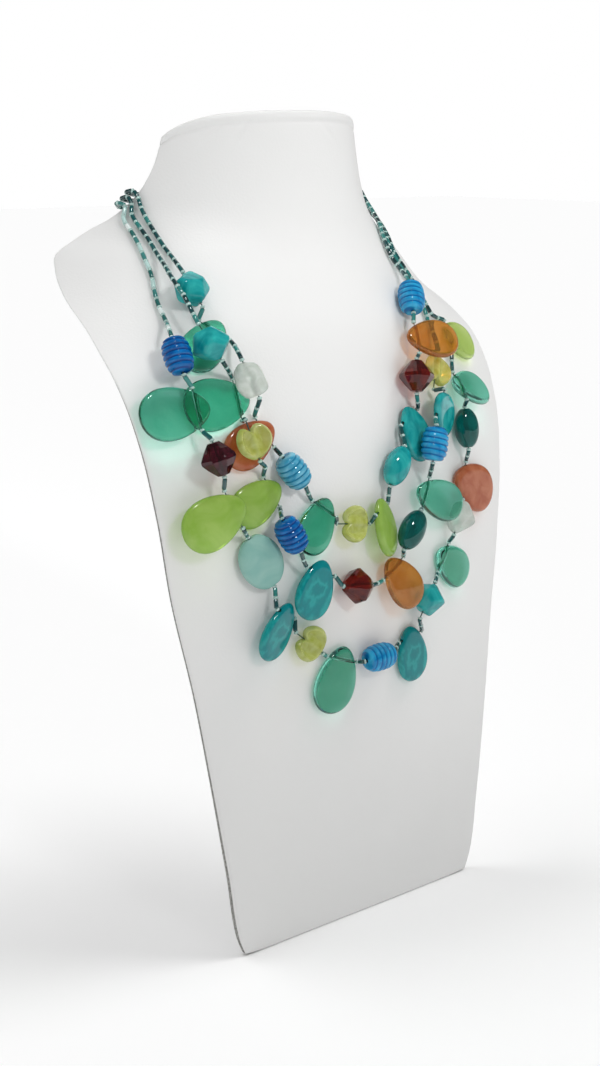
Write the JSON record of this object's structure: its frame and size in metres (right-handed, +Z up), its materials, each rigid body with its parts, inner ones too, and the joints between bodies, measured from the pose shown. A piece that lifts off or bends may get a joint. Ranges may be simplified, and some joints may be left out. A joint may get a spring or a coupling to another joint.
{
  "type": "beaded necklace on a neck display bust",
  "caption": "Multi-strand necklace of glass nuggets, ribbed beads and flat drops, draped on a plain white neck display bust that stands on a rear leg.",
  "frame": {"origin": "centre of the bounding box on the plane the bust stands on", "axes": "+Z up, -Y the side the bust faces, +X the right side of the bust as seen from its front"},
  "size_m": [0.181, 0.1026, 0.3085],
  "materials": {
    "amber": "glossy amber glass",
    "blue": "glossy deep blue glass",
    "board": "matt white leatherette, smooth",
    "clasp": "satin",
    "copper": "glossy copper-brown glass",
    "frosted": "frosted clear glass",
    "garnet": "glossy dark red glass",
    "green": "glossy transparent green glass",
    "light_blue": "glossy light blue glass",
    "lime": "milky lime glass",
    "pale": "frosted pale aqua glass",
    "pale_lime": "pale lime glass",
    "string": "lined green glass tubes and clear seed beads on thread",
    "swirl": "teal glass with swirls",
    "teal": "glossy dark teal glass",
    "turquoise": "glossy turquoise glass"
  },
  "bodies": {
    "root": {"bust_shell": "board", "bust_leg": "board", "clasp": "clasp", "string_inner": "string", "string_middle": "string", "string_outer": "string", "nugget_inner_1": "turquoise", "drop_inner_2": "green", "clear_inner_3": "frosted", "drop_inner_4": "copper", "ribbed_inner_5": "light_blue", "drop_inner_6": "green", "petal_inner_7": "lime", "drop_inner_8": "lime", "oval_inner_9": "turquoise", "drop_inner_10": "turquoise", "bicone_inner_11": "garnet", "drop_inner_12": "amber", "ribbed_inner_13": "blue", "nugget_middle_1": "turquoise", "drop_middle_2": "green", "petal_middle_3": "lime", "drop_middle_4": "lime", "ribbed_middle_5": "blue", "drop_middle_6": "swirl", "bicone_middle_7": "garnet", "drop_middle_8": "amber", "oval_middle_9": "teal", "drop_middle_10": "green", "ribbed_middle_11": "blue", "drop_middle_12": "turquoise", "petal_middle_13": "lime", "ribbed_outer_1": "blue", "drop_outer_2": "green", "bicone_outer_3": "garnet", "drop_outer_4": "lime", "flat_oval_outer_5": "pale", "drop_outer_6": "swirl", "petal_outer_7": "lime", "drop_outer_8": "green", "ribbed_outer_9": "blue", "drop_outer_10": "swirl", "nugget_outer_11": "turquoise", "drop_outer_12": "green", "clear_outer_13": "frosted", "drop_outer_14": "copper", "oval_outer_15": "teal", "drop_outer_16": "green", "drop_outer_17": "pale_lime"}
  },
  "joints": []
}
